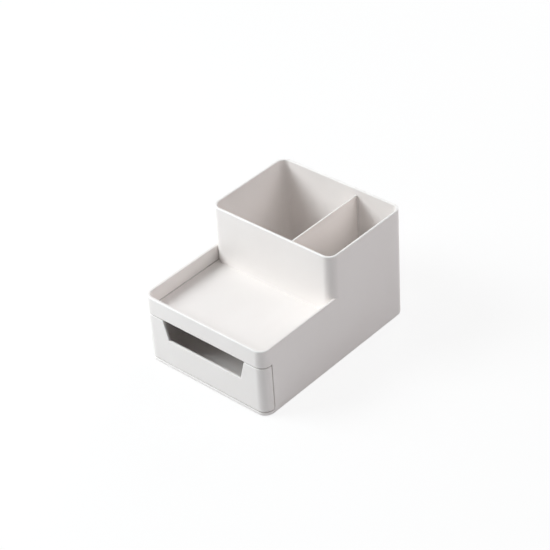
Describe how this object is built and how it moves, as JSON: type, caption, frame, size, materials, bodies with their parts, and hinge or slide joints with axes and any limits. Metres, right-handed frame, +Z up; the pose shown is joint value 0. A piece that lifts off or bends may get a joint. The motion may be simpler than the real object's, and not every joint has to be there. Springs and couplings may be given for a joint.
{
  "type": "desk drawer organizer",
  "caption": "Stepped desk organizer: shallow tray over a slide-out drawer with a finger opening, and a tall open pen bin behind with a lift-out partition.",
  "frame": {"origin": "middle of the footprint, on the surface that the pads stand on", "axes": "+Z up, -Y the way the drawer opens, +X the right side seen from the front"},
  "size_m": [0.13, 0.178, 0.1068],
  "materials": {
    "housing_plastic": "fine satin moulded surface, warm white",
    "drawer_plastic": "fine satin moulded surface, warm white",
    "partition_plastic": "fine satin moulded surface, warm white",
    "pad_rubber": "soft matt rubber, light grey"
  },
  "bodies": {
    "housing": {"housing": "housing_plastic", "pad_front_left": "pad_rubber", "pad_front_right": "pad_rubber", "pad_rear_left": "pad_rubber", "pad_rear_right": "pad_rubber"},
    "drawer": {"drawer": "drawer_plastic"},
    "partition": {"partition": "partition_plastic"}
  },
  "joints": [
    {"name": "drawer_slide", "type": "slide", "parent": "housing", "child": "drawer", "axis": [0, -1, 0], "range_m": [0, 0.085]},
    {"name": "partition_lift", "type": "slide", "parent": "housing", "child": "partition", "axis": [0, 0, 1], "range_m": [0, 0.104]}
  ]
}
